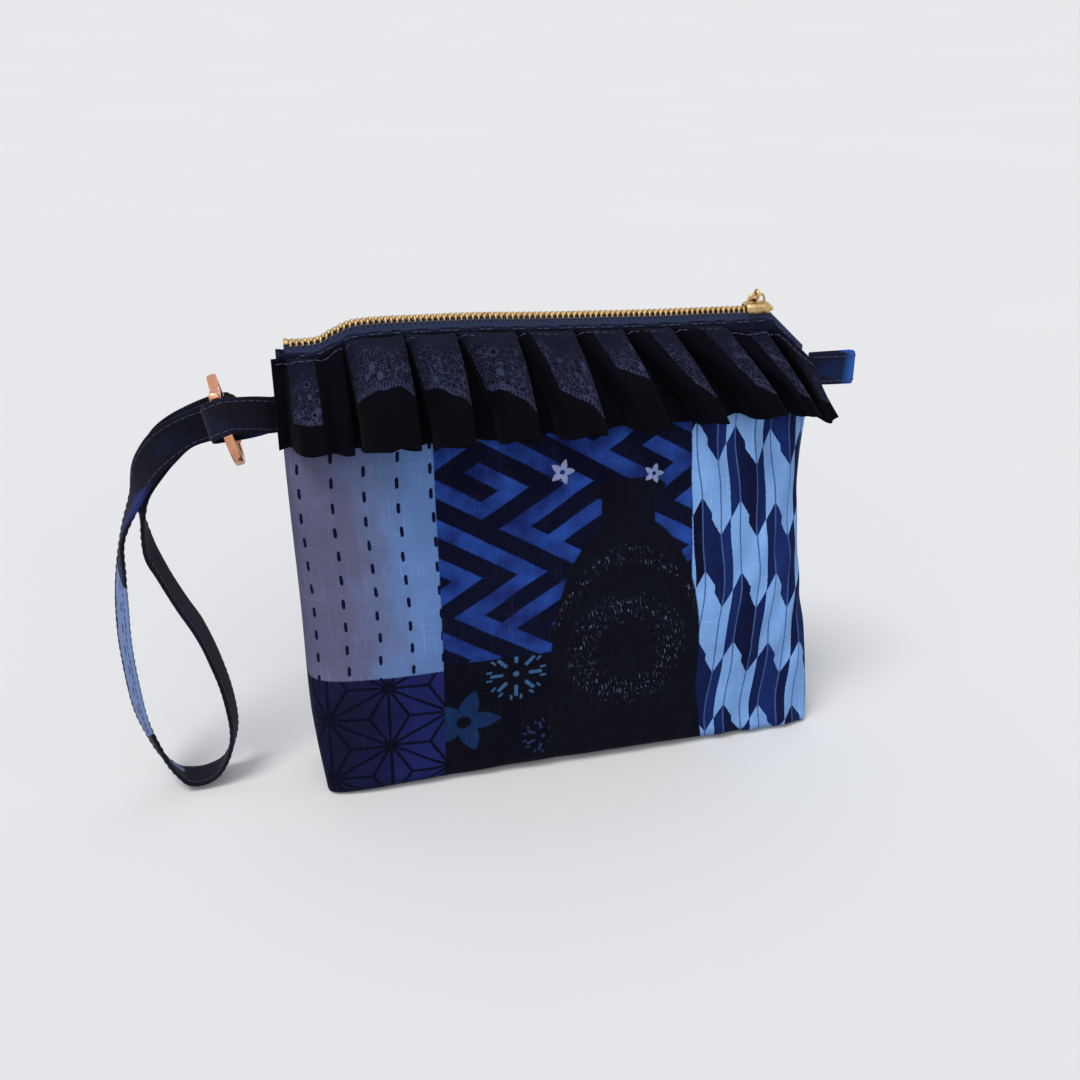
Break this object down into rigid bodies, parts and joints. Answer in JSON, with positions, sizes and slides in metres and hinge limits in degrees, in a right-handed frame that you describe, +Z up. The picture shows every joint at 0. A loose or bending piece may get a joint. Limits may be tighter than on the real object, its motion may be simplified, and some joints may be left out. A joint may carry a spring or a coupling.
{
  "type": "wristlet pouch",
  "caption": "Standing zipped cloth pouch with a boxed base, a pleated ruffle under the zip, folded side tabs, a gate ring with two ears and a folded wrist strap.",
  "frame": {"origin": "middle of the whole part's bounding box at the floor", "axes": "+X along the zip towards its closed end, -Y towards the front with the ruffle, +Z up"},
  "size_m": [0.29, 0.0546, 0.1888],
  "materials": {
    "printed_cotton": "woven slub cotton with a printed patchwork of blues",
    "navy_cotton": "plain woven cotton, matt",
    "eyelet_cotton": "eyelet embroidered cotton, matt",
    "lining_cotton": "plain woven cotton, matt",
    "zip_tape": "ribbed woven tape",
    "brass": "polished",
    "rose_gold": "polished plating"
  },
  "bodies": {
    "pouch": {"front_panel": "printed_cotton", "back_panel": "printed_cotton", "front_band": "navy_cotton", "back_band": "navy_cotton", "lining": "lining_cotton", "zip_tape_front": "zip_tape", "zip_tape_back": "zip_tape", "bottom_stop": "brass", "top_stop_front": "brass", "top_stop_back": "brass", "ruffle": "eyelet_cotton", "ring_tab": "navy_cotton", "side_tab": "navy_cotton"},
    "slider": {"slider_body": "brass"},
    "pull": {"pull_tab": "brass"},
    "ring": {"ring_frame": "rose_gold", "gate_pin": "rose_gold"},
    "gate": {"ring_gate": "rose_gold"},
    "strap": {"wrist_strap": "navy_cotton"}
  },
  "joints": [
    {"name": "zip_slide", "type": "slide", "parent": "pouch", "child": "slider", "axis": [1, 0, 0], "range_m": [-0.1705, 0]},
    {"name": "pull_swing", "type": "hinge", "parent": "slider", "child": "pull", "pos_m": [0.10045, 0.00409, 0.1867], "axis": [1, 0, 0], "range_deg": [0, 260]},
    {"name": "ring_swing", "type": "hinge", "parent": "pouch", "child": "ring", "pos_m": [-0.09913, -0.00313, 0.1573], "axis": [0, 0, 1], "range_deg": [-20, 20]},
    {"name": "gate_swing", "type": "hinge", "parent": "ring", "child": "gate", "pos_m": [-0.09538, 0.01855, 0.1423], "axis": [0.9703, 0, 0.2419], "range_deg": [-22, 0], "stiffness_Nm_per_rad": 0.004, "springref_deg": 8.59},
    {"name": "strap_swing", "type": "hinge", "parent": "ring", "child": "strap", "pos_m": [-0.09756, 0.02199, 0.151], "axis": [0, 0, 1], "range_deg": [-20, 20]}
  ]
}
